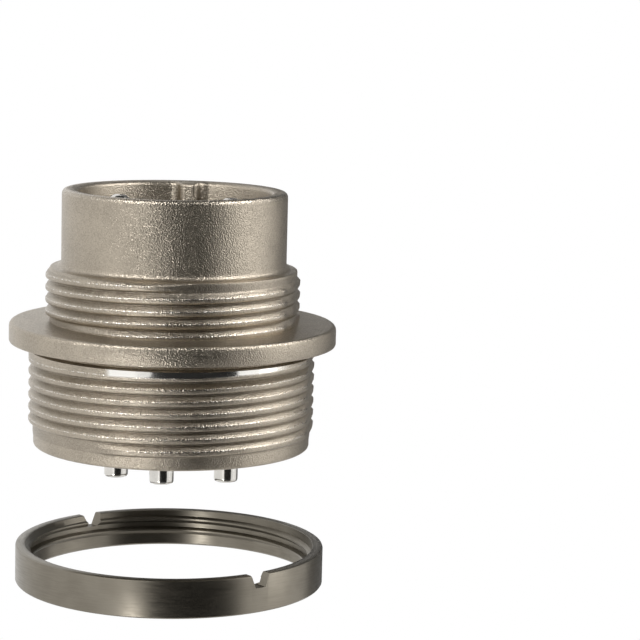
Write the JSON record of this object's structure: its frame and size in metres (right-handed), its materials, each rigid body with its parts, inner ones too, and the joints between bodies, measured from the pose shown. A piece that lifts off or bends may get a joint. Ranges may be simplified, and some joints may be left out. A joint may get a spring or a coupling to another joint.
{
  "type": "connector receptacle",
  "caption": "Panel-mount circular connector receptacle: a keyed barrel round pin contacts, threads above and below a flange, and a slotted ring nut.",
  "frame": {"origin": "on the axis, at the flange face that rests on the panel", "axes": "+Z along the axis towards the mating side, +Y from the axis towards the polarising key"},
  "size_m": [0.0204, 0.0204, 0.0248],
  "materials": {
    "cast_nickel": "matte nickel plate over die-cast zinc",
    "turned_nickel": "nickel plate over turned brass",
    "contact_plate": "bright plate over turned brass",
    "spring_wire": "plain spring wire",
    "insulator_black": "moulded, matte"
  },
  "bodies": {
    "receptacle": {"receptacle_body": "cast_nickel", "contact_insert": "insulator_black", "rear_insulator": "insulator_black", "snap_ring": "spring_wire", "contact_pin_left": "contact_plate", "contact_pin_middle": "contact_plate", "contact_pin_right": "contact_plate"},
    "nut": {"ring_nut": "turned_nickel"}
  },
  "joints": [
    {"name": "ring_nut_travel", "type": "slide", "parent": "receptacle", "child": "nut", "axis": [0, 0, 1], "range_m": [0, 0.01185]}
  ]
}
